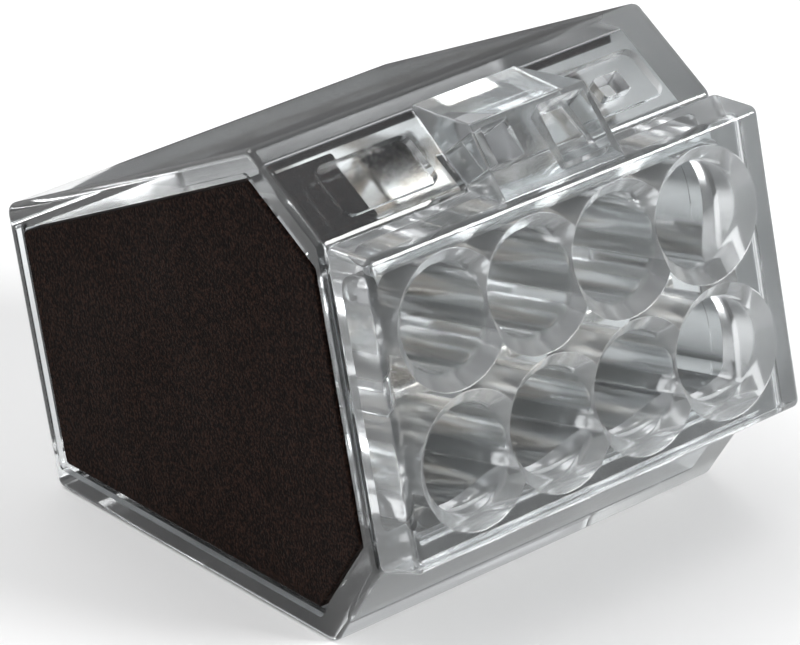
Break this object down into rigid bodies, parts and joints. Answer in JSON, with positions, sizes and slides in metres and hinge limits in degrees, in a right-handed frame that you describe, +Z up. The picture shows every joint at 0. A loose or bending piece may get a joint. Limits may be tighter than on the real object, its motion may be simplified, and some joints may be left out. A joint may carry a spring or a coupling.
{
  "type": "push-in wire connector",
  "caption": "Clear hexagonal push-in wire connector: ports in two rows, a black end insert, a test boss on the upper slope, and a busbar with spring fingers inside.",
  "frame": {"origin": "centre of the bounding box at the bottom, on the lower rear face that the connector lies on", "axes": "+X along the rows of ports, to the right seen from the front; +Y from the ports towards the back; +Z up from the face it lies on"},
  "size_m": [0.0194, 0.0232, 0.0186],
  "materials": {
    "clear_polycarbonate": "clear, polished, slightly grey",
    "black_moulding": "fine grained, warm black",
    "tinned_copper": "dull, brownish tin over copper",
    "spring_steel": "bright rolled strip"
  },
  "bodies": {
    "housing": {"clear_housing": "clear_polycarbonate", "wire_entry_cap": "clear_polycarbonate", "left_end_insert": "black_moulding", "busbar": "tinned_copper", "upper_spring_frame": "spring_steel", "lower_spring_frame": "spring_steel"},
    "upper_finger_1": {"upper_finger_1": "spring_steel"},
    "upper_finger_2": {"upper_finger_2": "spring_steel"},
    "upper_finger_3": {"upper_finger_3": "spring_steel"},
    "upper_finger_4": {"upper_finger_4": "spring_steel"},
    "lower_finger_1": {"lower_finger_1": "spring_steel"},
    "lower_finger_2": {"lower_finger_2": "spring_steel"},
    "lower_finger_3": {"lower_finger_3": "spring_steel"},
    "lower_finger_4": {"lower_finger_4": "spring_steel"}
  },
  "joints": [
    {"name": "upper_finger_1_flex", "type": "hinge", "parent": "housing", "child": "upper_finger_1", "pos_m": [-0.0063, 0.00014, 0.01399], "axis": [1, 0, 0], "range_deg": [0, 25], "stiffness_Nm_per_rad": 0.2},
    {"name": "upper_finger_2_flex", "type": "hinge", "parent": "housing", "child": "upper_finger_2", "pos_m": [-0.0021, 0.00014, 0.01399], "axis": [1, 0, 0], "range_deg": [0, 25], "stiffness_Nm_per_rad": 0.2},
    {"name": "upper_finger_3_flex", "type": "hinge", "parent": "housing", "child": "upper_finger_3", "pos_m": [0.0021, 0.00014, 0.01399], "axis": [1, 0, 0], "range_deg": [0, 25], "stiffness_Nm_per_rad": 0.2},
    {"name": "upper_finger_4_flex", "type": "hinge", "parent": "housing", "child": "upper_finger_4", "pos_m": [0.0063, 0.00014, 0.01399], "axis": [1, 0, 0], "range_deg": [0, 25], "stiffness_Nm_per_rad": 0.2},
    {"name": "lower_finger_1_flex", "type": "hinge", "parent": "housing", "child": "lower_finger_1", "pos_m": [-0.0063, -0.00261, 0.00267], "axis": [-1, 0, 0], "range_deg": [0, 25], "stiffness_Nm_per_rad": 0.2},
    {"name": "lower_finger_2_flex", "type": "hinge", "parent": "housing", "child": "lower_finger_2", "pos_m": [-0.0021, -0.00261, 0.00267], "axis": [-1, 0, 0], "range_deg": [0, 25], "stiffness_Nm_per_rad": 0.2},
    {"name": "lower_finger_3_flex", "type": "hinge", "parent": "housing", "child": "lower_finger_3", "pos_m": [0.0021, -0.00261, 0.00267], "axis": [-1, 0, 0], "range_deg": [0, 25], "stiffness_Nm_per_rad": 0.2},
    {"name": "lower_finger_4_flex", "type": "hinge", "parent": "housing", "child": "lower_finger_4", "pos_m": [0.0063, -0.00261, 0.00267], "axis": [-1, 0, 0], "range_deg": [0, 25], "stiffness_Nm_per_rad": 0.2}
  ]
}
